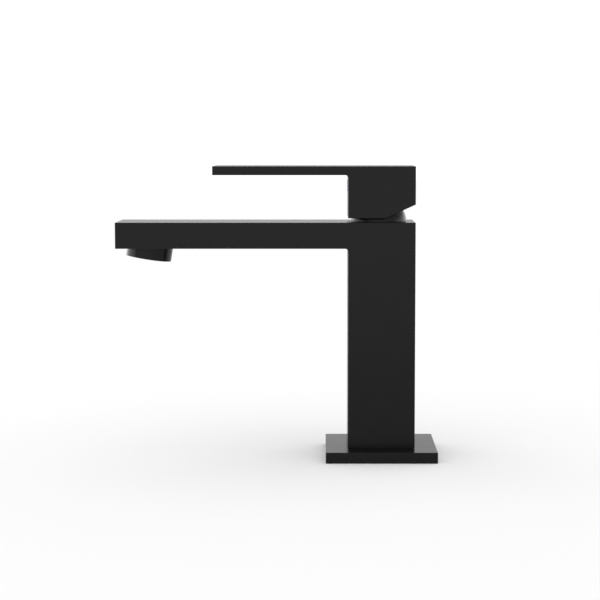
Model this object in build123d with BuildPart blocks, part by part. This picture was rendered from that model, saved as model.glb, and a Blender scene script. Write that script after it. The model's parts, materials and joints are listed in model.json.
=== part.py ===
"""Single-lever basin mixer: square body, flat spout, 25 mm ceramic cartridge and flat lever handle.

Frame: millimetres, +Z up. The origin is on the column's axis at the deck, level with the underside of
the base plate. The spout and the lever reach out along -Y, towards the user, and +X is the user's right.
"""

import os
from math import atan2, cos, degrees, hypot, radians, sin

from build123d import *

# ---------------------------------------------------------------- driving dimensions
# Outer body
plate_width = 63.0
plate_thick = 6.2
column_width = 38.0
body_top = 134.7
spout_thick = 14.7
spout_reach = 150.0
edge_round = 0.3
inner_round = 1.5
wall = 3.5
foot_line_height = 0.4
foot_line_depth = 0.5

# Handle
handle_gap = 2.45
handle_top = 166.3
lever_thick = 5.0
lever_reach = 95.2
chamfer_start = 2.0
chamfer_rise = 7.65
chamfer_round = 3.0
handle_bore_top = 160.5
stem_top = 160.0

# Clamping screw and its cap, in the handle's front face
screw_z = 155.0
screw_radius = 2.5
screw_length = 8.5
key_size = 2.5
cap_radius = 3.25
cap_thick = 1.8

# Water outlet
outlet_y = -132.0
outlet_tilt = 9.0
boss_radius = 13.0
boss_drop = 6.45
boss_root = 4.0
outlet_throat = 5.0

# Aerator, stacked up from the outlet's rim
aerator_radius = 11.0
sleeve_foot = 0.4
sleeve_bore = 8.8
sleeve_counterbore = 9.6
key_radius = 9.9
key_notch = (1.1, 2.0)
key_depth = 0.5
stack_radius = 9.5
stack_bore = 8.5
grid_foot = 1.0
grid_thick = 2.0
grid_pitch = 1.15
grid_cell = 1.02
core_floor = 1.4
core_rim = 1.2
core_bore = 8.3
jet_radius = 0.7
jet_rings = ((6.0, 12), (3.4, 6))
regulator_thick = 1.2
regulator_slot = (3.4, 1.5)
regulator_ring = 5.2
screen_thick = 1.2
screen_pitch = 1.8
screen_hole = 1.1
seal_thick = 1.0

# Dome and the ball-like motion of the handle, on an axis a little in front of the column's own
cartridge_y = -1.2
pivot_z = 133.6
dome_radius = 15.9
dome_clearance = 0.5
dome_open_z = 144.0
dome_lip = 1.2
dome_arc_middle = 15.0
foot_groove_height = 0.5
foot_groove_depth = 0.8

# Foot
thread_radius = 15.0
thread_length = 9.0
ring_thick = 10.0
plate_hole_radius = 16.0
gasket_outer = 26.4
gasket_inner = 23.6
gasket_thick = 2.0
insert_flange_radius = 18.5
insert_flange_thick = 3.2
port_x = 8.2
port_y = -3.6
hose_thread_radius = 4.5
hose_thread_depth = 6.5
stud_y = 9.0
stud_thread_radius = 3.4
stud_thread_depth = 12.0
riser_radius = 4.0
riser_bore = 3.25
socket_depth = 7.0
socket_end = 1.0
ring_section = 0.6
ring_depth = 4.6
upper_ring_rise = 2.5

# Cartridge
chamber_under = 94.0
chamber_floor = 107.5
chamber_radius = 12.7
cartridge_radius = 12.5
cartridge_bore = 11.3
shoulder_z = 130.0
nut_thread_radius = 14.0
nut_boss_radius = 12.0
notch = (4.0, 3.0)
notch_ring = 11.0
notch_depth = 2.2
base_thick = 5.7
inlet_outer = (6.2, -3.6)
inlet_inner = (3.6, -5.2)
inlet_radius = 2.2
inlet_port_radius = 2.5
outlet_slot = (9.0, 4.6)
base_outlet_y = 3.6
disc_outlet_y = 2.6
fixed_disc_radius = 10.8
fixed_disc_thick = 3.45
moving_disc_radius = 8.4
moving_disc_thick = 2.5
moving_disc_y = 2.4
stem_arm = 11.5
stem_ball = 2.2
stem_neck = 1.7
stem_square = 8.0
neck_radius = 8.55
neck_outer = 9.8
ring_recess = 10.05
rotor_ring_radius = 9.3
rotor_ring_section = 0.68
lug = (3.2, 12.0)
lug_x = 7.2
carrier = (11.0, 12.5)
carrier_back = 0.25
carrier_rise = 1.2
flange_thick = 2.6
thrust_thick = 0.5
pocket = (7.4, 8.6)
pocket_y = 1.3
pocket_depth = 1.4
pin_radius = 1.25
pin_length = 16.6
arm_slot_width = 5.2
arm_slot_length = 10.5
arm_slot_y = -2.25
head_slot_length = 12.4
head_slot_drop = 5.8
head_drop = 4.1
peg_x = 10.0
peg_y = 1.5
peg_radius = 1.25
peg_length = 2.2
base_flange_thick = 3.0
seal_groove = 1.4
seal_width = 1.1
housing_rise = 2.8
rotor_rise = 3.2
nut_rise = 4.1

# Clearances
film = 0.05
pin_fit = 0.02
seal_fit = 0.02
thread_gap = 0.05
sliding_gap = 0.1
end_gap = 0.2
carrier_gap = 0.15
lug_gap = 0.3
nut_gap = 0.4
cap_stand = 0.2

# Small rounds and chamfers
stem_round = 0.5
stem_chamfer = 0.4
disc_chamfer = 0.3
pocket_round = 1.5
carrier_round = 1.0
cap_round = 0.15

# Water ways in the body
channel_floor = 98.8
channel_roof = 105.8
channel_width = 5.0
front_slot_width = 18.0
front_slot_depth = 2.0
front_skin = 1.8
spout_channel_half = 14.5
spout_floor_thick = 2.8
spout_roof_thick = 3.3
tip_floor_thick = 6.0
tip_skin = 6.0
tip_floor_reach = 15.3

# ---------------------------------------------------------------- worked-out levels
half_column = column_width / 2
spout_under = body_top - spout_thick
block_under = body_top + handle_gap
lever_under = handle_top - lever_thick
ball_z = pivot_z - stem_arm
base_top = chamber_floor + base_thick
fixed_top = base_top + fixed_disc_thick
moving_floor = fixed_top + film
carrier_floor = moving_floor + moving_disc_thick
carrier_top = ball_z + carrier_rise
flange_floor = carrier_top + end_gap
flange_top = flange_floor + flange_thick
thrust_top = flange_top + thrust_thick
oring_roof = thrust_top + 2 * (rotor_ring_section + seal_fit)
housing_top = pivot_z + housing_rise
rotor_top = pivot_z + rotor_rise
nut_top = body_top + nut_rise
insert_top = plate_thick + thread_length
ring_top = plate_thick + ring_thick
socket_roof = chamber_under + socket_depth + socket_end
insert_groove_z = insert_top - ring_depth
riser_foot = insert_top - socket_depth + end_gap
riser_head = socket_roof - end_gap
lower_ring_z = insert_groove_z + 1.5 * ring_section
upper_ring_z = chamber_under + upper_ring_rise
front = -half_column
tip = -spout_reach
slot_front = front + front_skin
slot_back = slot_front + front_slot_depth
spout_channel_floor = spout_under + spout_floor_thick
spout_channel_roof = body_top - spout_roof_thick
tip_channel_floor = spout_under + tip_floor_thick
core_foot = grid_foot + grid_thick
regulator_foot = core_foot + core_floor + core_rim
screen_foot = regulator_foot + regulator_thick
seal_foot = screen_foot + screen_thick
aerator_depth = seal_foot + seal_thick
stem_front = cartridge_y - stem_square / 2


def outlet_plane(up):
    """Plane square to the outlet's axis, this far up from the rim, facing into the spout."""
    lean = radians(outlet_tilt)
    rise = up - boss_drop / cos(lean)
    origin = (0, outlet_y + rise * sin(lean), spout_under + rise * cos(lean))
    return Plane(origin=origin, x_dir=(1, 0, 0), z_dir=(0, sin(lean), cos(lean)))


def level(z):
    """Horizontal plane at this height, centred on the cartridge's axis."""
    return Plane(origin=(0, cartridge_y, z), x_dir=(1, 0, 0), z_dir=(0, 0, 1))


def side_plane(x):
    """Plane square to X at this X, with the sketch's own axes along +Y and +Z."""
    return Plane(origin=(x, 0, 0), x_dir=(0, 1, 0), z_dir=(1, 0, 0))


def screw_plane(y):
    """Plane square to the clamping screw at this Y, facing into the handle."""
    return Plane(origin=(0, y, screw_z), x_dir=(1, 0, 0), z_dir=(0, 1, 0))


def inlet_slots(radius):
    """Two mirrored slots that lead the hot and cold inlets from the risers in to the discs."""
    across = inlet_inner[0] - inlet_outer[0]
    along = inlet_inner[1] - inlet_outer[1]
    middle_x = (inlet_inner[0] + inlet_outer[0]) / 2
    middle_y = (inlet_inner[1] + inlet_outer[1]) / 2
    turn = degrees(atan2(along, across))
    for side in (1, -1):
        with Locations((side * middle_x, middle_y)):
            SlotCenterToCenter(hypot(across, along), 2 * radius, rotation=side * turn)


def outlet_oval(y, grow=0.0):
    """Oval outlet port centred on this Y, grown all round by this much."""
    with Locations((0, y)):
        SlotOverall(outlet_slot[0] + 2 * grow, outlet_slot[1] + 2 * grow)


# ---------------------------------------------------------------- foot
with BuildPart() as base_plate:
    with BuildSketch():
        Rectangle(plate_width, plate_width)
    extrude(amount=plate_thick)
    outer = base_plate.edges().filter_by(Axis.Z)
    fillet(outer + base_plate.edges().group_by(Axis.Z)[-1], radius=edge_round)
    with BuildSketch():
        Circle(plate_hole_radius)
    extrude(amount=plate_thick, mode=Mode.SUBTRACT)
    with BuildSketch():
        Circle(insert_flange_radius + 2 * sliding_gap)
    extrude(amount=insert_flange_thick, mode=Mode.SUBTRACT)
    with BuildSketch():
        Circle(gasket_outer + sliding_gap)
        Circle(gasket_inner - sliding_gap, mode=Mode.SUBTRACT)
    extrude(amount=gasket_thick, mode=Mode.SUBTRACT)

with BuildPart() as base_gasket:
    with BuildSketch():
        Circle(gasket_outer)
        Circle(gasket_inner, mode=Mode.SUBTRACT)
    extrude(amount=gasket_thick)

with BuildPart() as foot_insert:
    with BuildSketch():
        Circle(insert_flange_radius)
    extrude(amount=insert_flange_thick)
    with BuildSketch(Plane.XY.offset(insert_flange_thick)):
        Circle(plate_hole_radius - sliding_gap)
    extrude(amount=plate_thick - insert_flange_thick)
    with BuildSketch(Plane.XY.offset(plate_thick)):
        Circle(thread_radius - thread_gap)
    extrude(amount=thread_length)
    with BuildSketch():
        with Locations((port_x, port_y), (-port_x, port_y)):
            Circle(hose_thread_radius)
    extrude(amount=hose_thread_depth, mode=Mode.SUBTRACT)
    with BuildSketch():
        with Locations((port_x, port_y), (-port_x, port_y)):
            Circle(riser_bore)
    extrude(amount=insert_top, mode=Mode.SUBTRACT)
    with BuildSketch(Plane.XY.offset(insert_top - socket_depth)):
        with Locations((port_x, port_y), (-port_x, port_y)):
            Circle(riser_radius + film)
    extrude(amount=socket_depth, mode=Mode.SUBTRACT)
    with BuildSketch(Plane.XY.offset(insert_groove_z)):
        with Locations((port_x, port_y), (-port_x, port_y)):
            Circle(riser_radius + 2 * ring_section)
    extrude(amount=3 * ring_section, mode=Mode.SUBTRACT)
    with BuildSketch():
        with Locations((0, stud_y)):
            Circle(stud_thread_radius)
    extrude(amount=stud_thread_depth, mode=Mode.SUBTRACT)

# ---------------------------------------------------------------- risers
risers = {}
for riser_name, side in (("cold_riser", 1), ("hot_riser", -1)):
    with BuildPart() as riser:
        with BuildSketch(Plane.XY.offset(riser_foot)):
            with Locations((side * port_x, port_y)):
                Circle(riser_radius)
                Circle(riser_bore, mode=Mode.SUBTRACT)
        extrude(amount=riser_head - riser_foot)
    risers[riser_name] = riser

with BuildPart() as riser_orings:
    with Locations(
        [(side * port_x, port_y, z) for side in (1, -1) for z in (lower_ring_z, upper_ring_z)]
    ):
        Torus(riser_radius + ring_section, ring_section - seal_fit / 2)

# ---------------------------------------------------------------- body
with BuildPart() as body_casting:
    # Column and spout in one side profile
    with BuildSketch(side_plane(-half_column)):
        with BuildLine():
            Polyline(
                (half_column, plate_thick),
                (half_column, body_top),
                (tip, body_top),
                (tip, spout_under),
                (front, spout_under),
                (front, plate_thick),
                close=True,
            )
        make_face()
    extrude(amount=column_width)
    inner_corner = (
        body_casting.edges()
        .filter_by(Axis.X)
        .sort_by_distance((0, front, spout_under))[0]
    )
    fillet(inner_corner, radius=inner_round)
    foot_edges = body_casting.edges().group_by(Axis.Z)[0]
    fillet(body_casting.edges() - foot_edges, radius=edge_round)
    # Round outlet boss
    with BuildSketch(outlet_plane(0)):
        Circle(boss_radius)
    extrude(amount=boss_drop + boss_root)
    rim = body_casting.edges().filter_by(GeomType.CIRCLE).sort_by(Axis.Z)
    rim = rim.filter_by(lambda edge: abs(edge.radius - boss_radius) < 0.01)
    fillet(rim[0], radius=edge_round)
    # Fine shadow line round the foot
    with BuildSketch(Plane.XY.offset(plate_thick)):
        Rectangle(column_width, column_width)
        Rectangle(
            column_width - 2 * foot_line_depth,
            column_width - 2 * foot_line_depth,
            mode=Mode.SUBTRACT,
        )
    extrude(amount=foot_line_height, mode=Mode.SUBTRACT)
    # Hollow column
    with BuildSketch(Plane.XY.offset(ring_top)):
        Rectangle(column_width - 2 * wall, column_width - 2 * wall)
    extrude(amount=chamber_under - ring_top, mode=Mode.SUBTRACT)
    with BuildSketch(Plane.XY.offset(plate_thick)):
        Circle(thread_radius)
    extrude(amount=ring_thick, mode=Mode.SUBTRACT)
    # Cartridge chamber with its nut thread
    with BuildSketch(level(chamber_floor)):
        Circle(chamber_radius)
    extrude(amount=body_top - chamber_floor, mode=Mode.SUBTRACT)
    with BuildSketch(level(shoulder_z)):
        Circle(nut_thread_radius)
    extrude(amount=body_top - shoulder_z, mode=Mode.SUBTRACT)
    # Riser sockets, their ring grooves and the two inlet ports
    with BuildSketch(Plane.XY.offset(chamber_under)):
        with Locations((port_x, port_y), (-port_x, port_y)):
            Circle(riser_radius + film)
    extrude(amount=socket_roof - chamber_under, mode=Mode.SUBTRACT)
    with BuildSketch(Plane.XY.offset(upper_ring_z - 1.5 * ring_section)):
        with Locations((port_x, port_y), (-port_x, port_y)):
            Circle(riser_radius + 2 * ring_section)
    extrude(amount=3 * ring_section, mode=Mode.SUBTRACT)
    with BuildSketch(level(socket_roof)):
        with Locations(inlet_outer, (-inlet_outer[0], inlet_outer[1])):
            Circle(inlet_port_radius)
    extrude(amount=chamber_floor - socket_roof, mode=Mode.SUBTRACT)
    # Blind holes for the cartridge's two pegs
    with BuildSketch(level(chamber_floor - peg_length - end_gap)):
        with Locations((peg_x, peg_y), (-peg_x, peg_y)):
            Circle(peg_radius + film)
    extrude(amount=peg_length + end_gap, mode=Mode.SUBTRACT)
    # Mixed water: down the outlet port, forward between the risers and up the front wall
    with BuildSketch(level(channel_floor)):
        outlet_oval(base_outlet_y)
    extrude(amount=chamber_floor - channel_floor, mode=Mode.SUBTRACT)
    port_back = cartridge_y + base_outlet_y
    with BuildSketch(Plane.XY.offset(channel_floor)):
        with Locations((0, (port_back + slot_front) / 2)):
            Rectangle(channel_width, port_back - slot_front)
    extrude(amount=channel_roof - channel_floor, mode=Mode.SUBTRACT)
    with BuildSketch(Plane.XY.offset(channel_floor)):
        with Locations((0, (slot_front + slot_back) / 2)):
            Rectangle(front_slot_width, front_slot_depth)
    extrude(amount=tip_channel_floor - channel_floor, mode=Mode.SUBTRACT)
    # Along the spout to the outlet
    with BuildSketch(side_plane(-spout_channel_half)):
        with BuildLine():
            Polyline(
                (slot_front, spout_channel_floor),
                (slot_front, spout_channel_roof),
                (tip + tip_skin, spout_channel_roof),
                (tip + tip_skin, tip_channel_floor),
                (outlet_y + tip_floor_reach, tip_channel_floor),
                (outlet_y + tip_floor_reach, spout_channel_floor),
                close=True,
            )
        make_face()
    extrude(amount=2 * spout_channel_half, mode=Mode.SUBTRACT)
    # Aerator seat
    with BuildSketch(outlet_plane(0)):
        Circle(aerator_radius)
    extrude(amount=aerator_depth, mode=Mode.SUBTRACT)
    with BuildSketch(outlet_plane(aerator_depth)):
        Circle(stack_bore)
    extrude(amount=outlet_throat, mode=Mode.SUBTRACT)

# ---------------------------------------------------------------- aerator, stacked up from the rim
with BuildPart() as aerator_housing:
    with BuildSketch(outlet_plane(sleeve_foot)):
        Circle(aerator_radius - thread_gap)
    extrude(amount=seal_foot - sleeve_foot)
    with BuildSketch(outlet_plane(sleeve_foot)):
        Circle(sleeve_bore)
    extrude(amount=seal_foot - sleeve_foot, mode=Mode.SUBTRACT)
    with BuildSketch(outlet_plane(grid_foot)):
        Circle(sleeve_counterbore)
    extrude(amount=seal_foot - grid_foot, mode=Mode.SUBTRACT)
    # Key notches in the rim
    with BuildSketch(outlet_plane(sleeve_foot)):
        with PolarLocations(key_radius, 8):
            Rectangle(*key_notch)
    extrude(amount=key_depth, mode=Mode.SUBTRACT)

with BuildPart() as outlet_grid:
    with BuildSketch(outlet_plane(grid_foot)):
        Circle(stack_radius)
        with HexLocations(grid_pitch, 7, 7):
            RegularPolygon(grid_cell, 6, major_radius=False, mode=Mode.SUBTRACT)
    extrude(amount=grid_thick)

with BuildPart() as aerator_core:
    with BuildSketch(outlet_plane(core_foot)):
        Circle(stack_radius)
        for ring_radius, jets in jet_rings:
            with PolarLocations(ring_radius, jets):
                Circle(jet_radius, mode=Mode.SUBTRACT)
    extrude(amount=core_floor)
    with BuildSketch(outlet_plane(core_foot + core_floor)):
        Circle(stack_radius)
        Circle(core_bore, mode=Mode.SUBTRACT)
    extrude(amount=core_rim)

with BuildPart() as flow_regulator:
    with BuildSketch(outlet_plane(regulator_foot)):
        Circle(stack_radius)
        with PolarLocations(regulator_ring, 8):
            Rectangle(*regulator_slot, mode=Mode.SUBTRACT)
    extrude(amount=regulator_thick)

with BuildPart() as filter_screen:
    with BuildSketch(outlet_plane(screen_foot)):
        Circle(stack_radius)
        with GridLocations(screen_pitch, screen_pitch, 7, 7):
            Rectangle(screen_hole, screen_hole, mode=Mode.SUBTRACT)
    extrude(amount=screen_thick)

with BuildPart() as aerator_seal:
    with BuildSketch(outlet_plane(seal_foot)):
        Circle(aerator_radius - thread_gap)
        Circle(stack_bore, mode=Mode.SUBTRACT)
    extrude(amount=seal_thick)

# ---------------------------------------------------------------- cartridge, from the floor up
with BuildPart() as cartridge_base:
    with BuildSketch(level(chamber_floor)):
        Circle(cartridge_radius)
    extrude(amount=base_flange_thick)
    with BuildSketch(level(chamber_floor + base_flange_thick)):
        Circle(cartridge_bore - film)
    extrude(amount=base_thick - base_flange_thick)
    with BuildSketch(level(chamber_floor - peg_length)):
        with Locations((peg_x, peg_y), (-peg_x, peg_y)):
            Circle(peg_radius)
    extrude(amount=peg_length)
    with BuildSketch(level(chamber_floor)):
        inlet_slots(inlet_radius)
        outlet_oval(base_outlet_y)
    extrude(amount=base_thick, mode=Mode.SUBTRACT)
    for groove_z in (chamber_floor, base_top - seal_groove):
        with BuildSketch(level(groove_z)):
            inlet_slots(inlet_radius + seal_width)
            outlet_oval(base_outlet_y, grow=seal_width)
        extrude(amount=seal_groove, mode=Mode.SUBTRACT)

seals = {}
for seals_name, seal_z in (("port_seals", chamber_floor), ("disc_seals", base_top - seal_groove)):
    with BuildPart() as seal_set:
        with BuildSketch(level(seal_z)):
            inlet_slots(inlet_radius + seal_width - seal_fit)
            outlet_oval(base_outlet_y, grow=seal_width - seal_fit)
        extrude(amount=seal_groove)
        with BuildSketch(level(seal_z)):
            inlet_slots(inlet_radius)
            outlet_oval(base_outlet_y)
        extrude(amount=seal_groove, mode=Mode.SUBTRACT)
    seals[seals_name] = seal_set

with BuildPart() as fixed_disc:
    with BuildSketch(level(base_top)):
        Circle(fixed_disc_radius)
        with Locations(inlet_inner, (-inlet_inner[0], inlet_inner[1])):
            Circle(inlet_radius, mode=Mode.SUBTRACT)
        with Locations((0, disc_outlet_y)):
            SlotOverall(*outlet_slot, mode=Mode.SUBTRACT)
    extrude(amount=fixed_disc_thick)
    upper_circles = fixed_disc.edges().filter_by(GeomType.CIRCLE).group_by(Axis.Z)[-1]
    chamfer(upper_circles.sort_by(SortBy.RADIUS)[-1], length=disc_chamfer)

with BuildPart() as moving_disc:
    with BuildSketch(level(moving_floor)):
        with Locations((0, moving_disc_y)):
            Circle(moving_disc_radius)
    extrude(amount=moving_disc_thick)
    # Mixing pocket, open to the fixed disc
    with BuildSketch(level(moving_floor)):
        with Locations((0, moving_disc_y + pocket_y)):
            RectangleRounded(*pocket, pocket_round)
    extrude(amount=pocket_depth, mode=Mode.SUBTRACT)

with BuildPart() as disc_carrier:
    with BuildSketch(level(carrier_floor)):
        with Locations((0, moving_disc_y - carrier_back)):
            RectangleRounded(*carrier, carrier_round)
    extrude(amount=carrier_top - carrier_floor)
    with BuildSketch(level(carrier_floor)):
        Circle(stem_ball + carrier_gap)
    extrude(amount=carrier_top - carrier_floor, mode=Mode.SUBTRACT)

with BuildPart() as cartridge_housing:
    with BuildSketch(level(chamber_floor + base_flange_thick)):
        Circle(cartridge_radius)
    extrude(amount=shoulder_z - chamber_floor - base_flange_thick)
    with BuildSketch(level(shoulder_z)):
        Circle(neck_outer)
    extrude(amount=housing_top - shoulder_z)
    with BuildSketch(level(chamber_floor + base_flange_thick)):
        Circle(cartridge_bore)
    extrude(amount=thrust_top - chamber_floor - base_flange_thick, mode=Mode.SUBTRACT)
    with BuildSketch(level(thrust_top)):
        Circle(ring_recess)
    extrude(amount=oring_roof - thrust_top, mode=Mode.SUBTRACT)
    with BuildSketch(level(oring_roof)):
        Circle(neck_radius + film)
    extrude(amount=housing_top - oring_roof, mode=Mode.SUBTRACT)

with BuildPart() as cartridge_rotor:
    with BuildSketch(level(flange_floor)):
        Circle(cartridge_bore - sliding_gap)
    extrude(amount=flange_top - flange_floor)
    with BuildSketch(level(flange_top)):
        Circle(neck_radius)
    extrude(amount=rotor_top - flange_top)
    # Two lugs that guide the carrier
    with BuildSketch(level(carrier_floor + lug_gap)):
        with Locations((lug_x, 0), (-lug_x, 0)):
            Rectangle(*lug)
    extrude(amount=flange_floor - carrier_floor - lug_gap)
    # Slot for the stem's arm, then a wider one for its square head
    with BuildSketch(level(flange_floor)):
        with Locations((0, arm_slot_y)):
            Rectangle(arm_slot_width, arm_slot_length)
    extrude(amount=rotor_top - flange_floor, mode=Mode.SUBTRACT)
    with BuildSketch(level(pivot_z - head_slot_drop)):
        Rectangle(stem_square + 2 * sliding_gap, head_slot_length)
    extrude(amount=rotor_top - pivot_z + head_slot_drop, mode=Mode.SUBTRACT)
    with BuildSketch(side_plane(-neck_radius)):
        with Locations((cartridge_y, pivot_z)):
            Circle(pin_radius + pin_fit)
    extrude(amount=2 * neck_radius, mode=Mode.SUBTRACT)

with BuildPart() as thrust_ring:
    with BuildSketch(level(flange_top)):
        Circle(cartridge_bore - sliding_gap)
        Circle(neck_radius + sliding_gap, mode=Mode.SUBTRACT)
    extrude(amount=thrust_top - flange_top)

with BuildPart() as rotor_oring:
    with Locations((0, cartridge_y, (thrust_top + oring_roof) / 2)):
        Torus(rotor_ring_radius, rotor_ring_section)

with BuildPart() as pivot_pin:
    with BuildSketch(side_plane(-pin_length / 2)):
        with Locations((cartridge_y, pivot_z)):
            Circle(pin_radius)
    extrude(amount=pin_length)

with BuildPart() as control_stem:
    with BuildSketch(level(pivot_z - head_drop)):
        Rectangle(stem_square, stem_square)
    extrude(amount=stem_top - pivot_z + head_drop)
    fillet(control_stem.edges().filter_by(Axis.Z), radius=stem_round)
    chamfer(control_stem.edges().group_by(Axis.Z)[-1], length=stem_chamfer)
    with BuildSketch(level(ball_z)):
        Circle(stem_neck)
    extrude(amount=stem_arm - head_drop)
    with Locations((0, cartridge_y, ball_z)):
        Sphere(stem_ball)
    with BuildSketch(side_plane(-stem_square / 2)):
        with Locations((cartridge_y, pivot_z)):
            Circle(pin_radius + film)
    extrude(amount=stem_square, mode=Mode.SUBTRACT)

with BuildPart() as cartridge_nut:
    with BuildSketch(level(shoulder_z)):
        Circle(nut_thread_radius - thread_gap)
    extrude(amount=body_top - shoulder_z)
    with BuildSketch(level(body_top)):
        Circle(nut_boss_radius)
    extrude(amount=nut_top - body_top)
    with BuildSketch(level(shoulder_z)):
        Circle(neck_outer + 2 * sliding_gap)
    extrude(amount=nut_top - shoulder_z, mode=Mode.SUBTRACT)
    # Spanner notches
    with BuildSketch(level(nut_top - notch_depth)):
        with PolarLocations(notch_ring, 4):
            Rectangle(*notch)
    extrude(amount=notch_depth, mode=Mode.SUBTRACT)

# ---------------------------------------------------------------- dome cover
groove_top = body_top + foot_groove_height
dome_foot = (dome_radius**2 - (groove_top - pivot_z) ** 2) ** 0.5
dome_mouth = (dome_radius**2 - (dome_open_z - pivot_z) ** 2) ** 0.5
mid_rise = radians(dome_arc_middle)

cartridge_axis = Axis((0, cartridge_y, 0), (0, 0, 1))
dome_plane = Plane(origin=(0, cartridge_y, 0), x_dir=(1, 0, 0), z_dir=(0, -1, 0))

with BuildPart() as dome_cover:
    with BuildSketch(dome_plane):
        with BuildLine():
            ThreePointArc(
                (dome_foot, groove_top),
                (dome_radius * cos(mid_rise), pivot_z + dome_radius * sin(mid_rise)),
                (dome_mouth, dome_open_z),
            )
            Polyline(
                (dome_mouth, dome_open_z),
                (dome_mouth - dome_lip, dome_open_z),
                (nut_boss_radius + film, nut_top + nut_gap),
                (nut_boss_radius + film, body_top),
                (dome_foot - foot_groove_depth, body_top),
                (dome_foot - foot_groove_depth, groove_top),
                (dome_foot, groove_top),
            )
        make_face()
    revolve(axis=cartridge_axis)

# ---------------------------------------------------------------- handle
with BuildPart() as handle:
    with BuildSketch(side_plane(-half_column)):
        with BuildLine():
            Polyline(
                (chamfer_start, block_under),
                (half_column, block_under + chamfer_rise),
                (half_column, handle_top),
                (-lever_reach, handle_top),
                (-lever_reach, lever_under),
                (front, lever_under),
                (front, block_under),
                close=True,
            )
        make_face()
    extrude(amount=column_width)
    across = handle.edges().filter_by(Axis.X)
    lever_corner = across.sort_by_distance((0, front, lever_under))[0]
    fillet(lever_corner, radius=inner_round)
    chamfer_edge = (
        handle.edges().filter_by(Axis.X).sort_by_distance((0, chamfer_start, block_under))[0]
    )
    fillet(chamfer_edge, radius=chamfer_round)
    fillet(handle.edges(), radius=edge_round)
    # Round hollow that clears the dome in every position
    with Locations((0, cartridge_y, pivot_z)):
        Sphere(dome_radius + dome_clearance, mode=Mode.SUBTRACT)
    # Square socket for the stem
    with BuildSketch(level(dome_open_z)):
        Rectangle(stem_square + 2 * film, stem_square + 2 * film)
    extrude(amount=handle_bore_top - dome_open_z, mode=Mode.SUBTRACT)
    # Threaded hole for the clamping screw, with a round recess for the cap
    with BuildSketch(screw_plane(front)):
        Circle(screw_radius)
    extrude(amount=half_column, mode=Mode.SUBTRACT)
    with BuildSketch(screw_plane(front)):
        Circle(cap_radius + film)
    extrude(amount=cap_thick - cap_stand, mode=Mode.SUBTRACT)

with BuildPart() as handle_screw:
    with BuildSketch(screw_plane(stem_front - screw_length)):
        Circle(screw_radius - thread_gap)
    extrude(amount=screw_length)
    with BuildSketch(screw_plane(stem_front - screw_length)):
        RegularPolygon(key_size / 2, 6, major_radius=False)
    extrude(amount=key_size, mode=Mode.SUBTRACT)

with BuildPart() as index_cap:
    with BuildSketch(screw_plane(front - cap_stand)):
        Circle(cap_radius)
    extrude(amount=cap_thick)
    fillet(index_cap.edges().sort_by(Axis.Y)[0], radius=cap_round)

# ---------------------------------------------------------------- labels and files
pieces = {
    "base_plate": base_plate,
    "base_gasket": base_gasket,
    "foot_insert": foot_insert,
    "hot_riser": risers["hot_riser"],
    "cold_riser": risers["cold_riser"],
    "riser_orings": riser_orings,
    "body_casting": body_casting,
    "aerator_housing": aerator_housing,
    "outlet_grid": outlet_grid,
    "aerator_core": aerator_core,
    "flow_regulator": flow_regulator,
    "filter_screen": filter_screen,
    "aerator_seal": aerator_seal,
    "cartridge_base": cartridge_base,
    "port_seals": seals["port_seals"],
    "disc_seals": seals["disc_seals"],
    "fixed_disc": fixed_disc,
    "moving_disc": moving_disc,
    "disc_carrier": disc_carrier,
    "cartridge_housing": cartridge_housing,
    "cartridge_rotor": cartridge_rotor,
    "thrust_ring": thrust_ring,
    "rotor_oring": rotor_oring,
    "pivot_pin": pivot_pin,
    "control_stem": control_stem,
    "cartridge_nut": cartridge_nut,
    "dome_cover": dome_cover,
    "handle": handle,
    "handle_screw": handle_screw,
    "index_cap": index_cap,
}

os.makedirs("parts", exist_ok=True)
for name, piece in pieces.items():
    piece.part.label = name
    export_step(piece.part, f"parts/{name}.step")
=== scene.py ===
"""Square single-lever basin mixer in matt black, standing on a white studio floor."""
import json
import math

import bpy
from mathutils import Euler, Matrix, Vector

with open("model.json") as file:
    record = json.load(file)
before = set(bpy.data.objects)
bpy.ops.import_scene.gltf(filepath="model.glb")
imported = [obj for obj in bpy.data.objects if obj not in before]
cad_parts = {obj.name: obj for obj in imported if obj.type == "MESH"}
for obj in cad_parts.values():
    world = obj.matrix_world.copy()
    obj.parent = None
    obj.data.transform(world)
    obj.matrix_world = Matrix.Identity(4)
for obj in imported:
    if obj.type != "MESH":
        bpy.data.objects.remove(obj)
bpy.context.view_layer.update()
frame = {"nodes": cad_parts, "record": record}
NODES = frame["nodes"]

# ---------------------------------------------------------------- driving values
# The camera: its place in metres, its pitch in radians, and its lens and sensor in millimetres
CAMERA_DISTANCE = 0.998
CAMERA_ALONG = -0.0338
CAMERA_HEIGHT = 0.18394
CAMERA_PITCH = 0.0945
FOCAL_LENGTH = 104.712
FRAME_SHIFT = -0.0362
SENSOR = 36.0

# The black paint: its mottling goes from one tone to the other
BLACK = (0.0036, 0.0036, 0.00365)
BLACK_LIGHT = (0.0046, 0.0046, 0.0047)
PAINT_IOR = 1.255

# The index cap's colours run this far each side of its middle, in metres, just past its edge
CAP_COLOUR_REACH = 0.0033

# The floor, in metres: matt white near the object, fading to a glow further out
FLOOR_HALF = 6.0
FLOOR_WHITE = 0.905
FADE_START, FADE_END = 0.42, 1.15

# The surrounding's brightness at each sine of the elevation, from the horizon to straight up
SKY = ((0.0, 1.16), (0.07, 1.13), (0.16, 0.87), (0.40, 0.87), (0.65, 1.05), (1.0, 1.05))

# The brighter front on the +X side: how much it adds, where it starts and is full across and up
# (as parts of a unit direction), and where the floor's glow, painted brighter there to match it, starts and
# is full along the floor in metres
FRONT_BOOST = 0.42
FRONT_ACROSS = (0.35, 0.75)
FRONT_UP = (0.70, 0.30)
FRONT_FLOOR = (0.32, 0.6)

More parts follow.
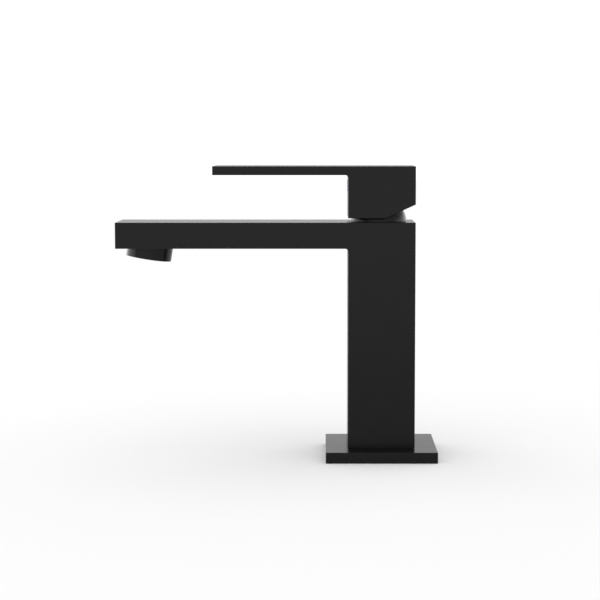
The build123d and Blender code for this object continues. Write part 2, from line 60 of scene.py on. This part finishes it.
# The two side lights, in metres and watts: alike but for their power, one at each end of the Y axis
LIGHT_X = -0.52
LIGHT_Y = 1.30
LIGHT_HEIGHT = 0.24
LIGHT_SIZE = (2.5, 0.45)
LEFT_POWER = 7.6
RIGHT_POWER = 5.7


# ---------------------------------------------------------------- material helpers
class Nodes:
    """A short way to build one node material: add nodes, link them and set their sockets."""

    def __init__(self, name):
        self.material = bpy.data.materials.new(name)
        self.material.use_nodes = True
        self.tree = self.material.node_tree
        self.tree.nodes.clear()
        self.shader = self.add("ShaderNodeBsdfPrincipled")
        output = self.add("ShaderNodeOutputMaterial")
        self.link(self.shader.outputs["BSDF"], output.inputs["Surface"])
        self.place = self.add("ShaderNodeTexCoord").outputs["Object"]

    def add(self, kind, **settings):
        """A node of this kind. Settings that name an input socket set it, and the others are properties."""
        node = self.tree.nodes.new(kind)
        for key, value in settings.items():
            if hasattr(node, key):
                setattr(node, key, value)
            else:
                node.inputs[key].default_value = value
        return node

    def link(self, output, socket):
        self.tree.links.new(output, socket)

    def scaled_place(self, scale):
        """The position in the piece's own frame, which turns with it, times a scale for each axis."""
        node = self.add("ShaderNodeMapping")
        node.inputs["Scale"].default_value = scale
        self.link(self.place, node.inputs["Vector"])
        return node.outputs["Vector"]

    def noise(self, size, detail=3.0, rough=0.55, stretch=(1, 1, 1)):
        """Noise whose cells are about this many metres across."""
        node = self.add("ShaderNodeTexNoise", Detail=detail, Roughness=rough)
        node.inputs["Scale"].default_value = 1.0
        self.link(self.scaled_place([s / size for s in stretch]), node.inputs["Vector"])
        return node.outputs["Fac"]

    def cells(self, size):
        """Distance to the nearest of points about this many metres apart."""
        node = self.add("ShaderNodeTexVoronoi")
        node.inputs["Scale"].default_value = 1.0
        self.link(self.scaled_place([1 / size] * 3), node.inputs["Vector"])
        return node.outputs["Distance"]

    def between(self, value, low, high, out_low, out_high):
        """A value mapped from one range to another, clamped."""
        node = self.add("ShaderNodeMapRange")
        limits = {"From Min": low, "From Max": high, "To Min": out_low, "To Max": out_high}
        for socket, number in limits.items():
            node.inputs[socket].default_value = number
        self.link(value, node.inputs["Value"])
        return node.outputs["Result"]

    def colours(self, value, stops):
        """A colour ramp: stops are (position, (r, g, b))."""
        node = self.add("ShaderNodeValToRGB")
        ramp = node.color_ramp
        while len(ramp.elements) < len(stops):
            ramp.elements.new(0.5)
        for element, (position, rgb) in zip(ramp.elements, stops):
            element.position = position
            element.color = (*rgb, 1.0)
        self.link(value, node.inputs["Fac"])
        return node.outputs["Color"]

    def total(self, a, b, share=1.0):
        """a plus b times a share."""
        node = self.add("ShaderNodeMath", operation="MULTIPLY_ADD")
        self.link(b, node.inputs[0])
        node.inputs[1].default_value = share
        self.link(a, node.inputs[2])
        return node.outputs["Value"]

    def relief(self, *layers):
        """Bumps laid over each other: (height, depth in metres)."""
        normal = None
        for height, depth in layers:
            node = self.add("ShaderNodeBump", Strength=1.0)
            node.inputs["Distance"].default_value = depth
            self.link(height, node.inputs["Height"])
            if normal:
                self.link(normal, node.inputs["Normal"])
            normal = node.outputs["Normal"]
        self.link(normal, self.shader.inputs["Normal"])

    def set(self, **sockets):
        """Sets sockets of the shader, with underscores for spaces."""
        for key, value in sockets.items():
            socket = self.shader.inputs[key.replace("_", " ")]
            if isinstance(value, bpy.types.NodeSocket):
                self.link(value, socket)
            elif isinstance(value, tuple):
                socket.default_value = (*value, 1.0)
            else:
                socket.default_value = value


# ---------------------------------------------------------------- materials
def black_finish():
    """Matt black electrophoretic paint: fine orange peel and the faintest mottling."""
    n = Nodes("black_finish")
    mottle = n.noise(0.012, detail=4.0)
    grain = n.noise(0.00022, detail=2.0)
    n.set(
        Base_Color=n.colours(mottle, [(0.35, BLACK), (0.7, BLACK_LIGHT)]),
        Roughness=n.between(n.total(mottle, grain, 0.35), 0.4, 0.95, 0.235, 0.265),
        IOR=PAINT_IOR,
    )
    n.relief((n.noise(0.0011, detail=2.0), 0.000012), (grain, 0.000006))
    return n.material


def brass():
    """Turned brass: fine rings around the vertical axis and a slight tarnish."""
    n = Nodes("brass")
    tarnish = n.noise(0.006, detail=5.0)
    rings = n.noise(0.0009, detail=2.0, stretch=(0.05, 0.05, 9.0))
    n.set(
        Base_Color=n.colours(tarnish, [(0.3, (0.60, 0.42, 0.19)), (0.7, (0.76, 0.57, 0.30))]),
        Metallic=1.0,
        Roughness=n.between(n.total(tarnish, rings, 0.6), 0.4, 1.2, 0.2, 0.38),
    )
    n.relief((rings, 0.00002))
    return n.material


def stainless():
    """Satin stainless steel with fine drawn lines."""
    n = Nodes("stainless")
    lines = n.noise(0.0006, detail=3.0, stretch=(1.0, 1.0, 14.0))
    cloud = n.noise(0.005)
    n.set(
        Base_Color=n.colours(cloud, [(0.3, (0.50, 0.50, 0.49)), (0.7, (0.62, 0.62, 0.61))]),
        Metallic=1.0,
        Roughness=n.between(lines, 0.3, 0.7, 0.22, 0.4),
    )
    n.relief((lines, 0.000015))
    return n.material


def copper():
    """Drawn copper tube with a brown bloom."""
    n = Nodes("copper")
    bloom = n.noise(0.008, detail=5.0)
    lines = n.noise(0.0006, detail=2.0, stretch=(6.0, 6.0, 0.2))
    n.set(
        Base_Color=n.colours(bloom, [(0.3, (0.52, 0.25, 0.15)), (0.7, (0.80, 0.46, 0.32))]),
        Metallic=1.0,
        Roughness=n.between(n.total(bloom, lines, 0.5), 0.4, 1.1, 0.22, 0.42),
    )
    n.relief((lines, 0.00001))
    return n.material


def rubber():
    """Moulded black rubber: dull, with a fine spark-eroded texture and a dusty bloom."""
    n = Nodes("rubber")
    dust = n.noise(0.004, detail=5.0)
    grain = n.cells(0.00025)
    n.set(
        Base_Color=n.colours(dust, [(0.3, (0.016, 0.016, 0.016)), (0.75, (0.034, 0.034, 0.033))]),
        Roughness=n.between(dust, 0.3, 0.7, 0.62, 0.8),
        Specular_IOR_Level=0.35,
    )
    n.relief((grain, 0.00001))
    return n.material


def ceramic():
    """Lapped alumina: off-white, very even, with the faintest speckle."""
    n = Nodes("ceramic")
    speckle = n.noise(0.0004, detail=4.0)
    n.set(
        Base_Color=n.colours(speckle, [(0.3, (0.80, 0.78, 0.73)), (0.7, (0.88, 0.86, 0.82))]),
        Roughness=n.between(speckle, 0.3, 0.7, 0.12, 0.2),
        Coat_Weight=0.2,
    )
    n.relief((speckle, 0.000002))
    return n.material


def plastic(name, dark, light, rough):
    """Moulded plastic: a slow change of tone, faint flow lines and a fine spark-eroded grain."""
    n = Nodes(name)
    tone = n.noise(0.009, detail=3.0)
    flow = n.noise(0.002, detail=2.0, stretch=(0.3, 0.3, 2.0))
    grain = n.cells(0.0002)
    n.set(
        Base_Color=n.colours(tone, [(0.3, dark), (0.7, light)]),
        Roughness=n.between(n.total(tone, flow, 0.5), 0.4, 1.1, rough - 0.06, rough + 0.08),
    )
    n.relief((grain, 0.000008), (flow, 0.00001))
    return n.material


def index_colours():
    """Satin cap, red on the hot side and blue on the cold side, with a narrow pale line between."""
    n = Nodes("index_colours")
    parts = n.add("ShaderNodeSeparateXYZ")
    n.link(n.place, parts.inputs["Vector"])
    side = n.between(parts.outputs["X"], -CAP_COLOUR_REACH, CAP_COLOUR_REACH, 0.0, 1.0)
    red, blue, line = (0.42, 0.012, 0.012), (0.01, 0.045, 0.36), (0.55, 0.55, 0.55)
    stops = [(0.0, red), (0.46, red), (0.47, line), (0.53, line), (0.54, blue), (1.0, blue)]
    n.set(
        Base_Color=n.colours(side, stops),
        Roughness=n.between(n.noise(0.0008), 0.3, 0.7, 0.3, 0.38),
        IOR=1.35,
    )
    n.relief((n.noise(0.0006), 0.000004))
    return n.material


MATERIALS = {
    "black_finish": black_finish(),
    "brass": brass(),
    "stainless": stainless(),
    "copper": copper(),
    "rubber": rubber(),
    "ceramic": ceramic(),
    "white_plastic": plastic("white_plastic", (0.72, 0.72, 0.69), (0.82, 0.82, 0.80), 0.4),
    "grey_plastic": plastic("grey_plastic", (0.20, 0.21, 0.22), (0.27, 0.28, 0.29), 0.45),
    "aerator_plastic": plastic("aerator_plastic", (0.055, 0.058, 0.062), (0.075, 0.078, 0.082), 0.38),
    "index_colours": index_colours(),
}


def dress(piece, material):
    """Gives a piece one material and no other."""
    piece.data.materials.clear()
    piece.data.materials.append(material)


for entry in frame["record"]["subparts"]:
    dress(NODES[entry["node"]], MATERIALS[entry["material_slot"]])


# ---------------------------------------------------------------- studio
def white_floor():
    """A wide plane at the deck's level that glows where it is far from the object, its glow painted
    brighter towards the +X side.
    """
    mesh = bpy.data.meshes.new("studio_floor")
    half = FLOOR_HALF
    corners = [(-half, -half, 0), (half, -half, 0), (half, half, 0), (-half, half, 0)]
    mesh.from_pydata(corners, [], [(0, 1, 2, 3)])
    floor = bpy.data.objects.new("studio_floor", mesh)
    bpy.context.scene.collection.objects.link(floor)
    n = Nodes("studio_floor")
    length = n.add("ShaderNodeVectorMath", operation="LENGTH")
    n.link(n.place, length.inputs[0])
    far = n.between(length.outputs["Value"], FADE_START, FADE_END, 0.0, 1.0)
    across = n.add("ShaderNodeSeparateXYZ")
    n.link(n.place, across.inputs["Vector"])
    # Painted light: the floor's glow is made stronger towards +X, a painted pool of light matching the
    # brighter front of the surrounding
    front = n.between(across.outputs["X"], *FRONT_FLOOR, 1.0, 1.0 + FRONT_BOOST)
    near_white, black, white = (FLOOR_WHITE,) * 3, (0.0, 0.0, 0.0), (1.0, 1.0, 1.0)
    n.set(
        Base_Color=n.colours(far, [(0.0, near_white), (1.0, black)]),
        Emission_Color=n.colours(far, [(0.0, black), (1.0, white)]),
        Emission_Strength=front,
        Roughness=0.9,
        Specular_IOR_Level=0.0,
    )
    dress(floor, n.material)


def white_world():
    """A white surrounding: a darker band part-way up, and a brighter wide front behind the camera."""
    world = bpy.data.worlds.new("studio")
    bpy.context.scene.world = world
    world.use_nodes = True
    tree = world.node_tree
    background = tree.nodes["Background"]
    direction = tree.nodes.new("ShaderNodeTexCoord")
    split = tree.nodes.new("ShaderNodeSeparateXYZ")
    tree.links.new(direction.outputs["Generated"], split.inputs["Vector"])

    ramp = tree.nodes.new("ShaderNodeValToRGB")
    tree.links.new(split.outputs["Z"], ramp.inputs["Fac"])
    while len(ramp.color_ramp.elements) < len(SKY):
        ramp.color_ramp.elements.new(0.5)
    for element, (sine, level) in zip(ramp.color_ramp.elements, SKY):
        element.position = sine
        element.color = (level, level, level, 1.0)

    shares = []
    for axis, (low, high) in (("X", FRONT_ACROSS), ("Z", FRONT_UP)):
        share = tree.nodes.new("ShaderNodeMapRange")
        share.interpolation_type = "SMOOTHSTEP"
        share.inputs["From Min"].default_value = low
        share.inputs["From Max"].default_value = high
        tree.links.new(split.outputs[axis], share.inputs["Value"])
        shares.append(share.outputs["Result"])
    both = tree.nodes.new("ShaderNodeMath")
    both.operation = "MULTIPLY"
    tree.links.new(shares[0], both.inputs[0])
    tree.links.new(shares[1], both.inputs[1])
    total = tree.nodes.new("ShaderNodeMath")
    total.operation = "MULTIPLY_ADD"
    tree.links.new(both.outputs["Value"], total.inputs[0])
    total.inputs[1].default_value = FRONT_BOOST
    tree.links.new(ramp.outputs["Color"], total.inputs[2])
    tree.links.new(total.outputs["Value"], background.inputs["Strength"])
    background.inputs["Color"].default_value = (1.0, 1.0, 1.0, 1.0)


def side_light(name, along, power):
    """A wide rectangular light at this Y, facing the object's axis at its own height."""
    lamp = bpy.data.lights.new(name, "AREA")
    lamp.shape = "RECTANGLE"
    lamp.size, lamp.size_y = LIGHT_SIZE
    lamp.energy = power
    holder = bpy.data.objects.new(name, lamp)
    place = Vector((LIGHT_X, along, LIGHT_HEIGHT))
    aim = Vector((0.0, 0.0, LIGHT_HEIGHT))
    holder.location = place
    holder.rotation_euler = (aim - place).to_track_quat("-Z", "Y").to_euler()
    bpy.context.scene.collection.objects.link(holder)


def side_camera():
    """The camera on the +X side, a little above the handle, looking down at the column."""
    lens = bpy.data.cameras.new("camera")
    lens.sensor_width = SENSOR
    lens.lens = FOCAL_LENGTH
    lens.shift_x = FRAME_SHIFT
    lens.clip_start = 0.05
    lens.clip_end = 50.0
    holder = bpy.data.objects.new("camera", lens)
    holder.location = (CAMERA_DISTANCE, CAMERA_ALONG, CAMERA_HEIGHT)
    holder.rotation_euler = Euler((math.pi / 2 - CAMERA_PITCH, 0.0, math.pi / 2))
    bpy.context.scene.collection.objects.link(holder)
    bpy.context.scene.camera = holder


white_floor()
white_world()
side_light("left_box", -LIGHT_Y, LEFT_POWER)
side_light("right_box", LIGHT_Y, RIGHT_POWER)
side_camera()
bpy.context.scene.view_settings.view_transform = "Standard"
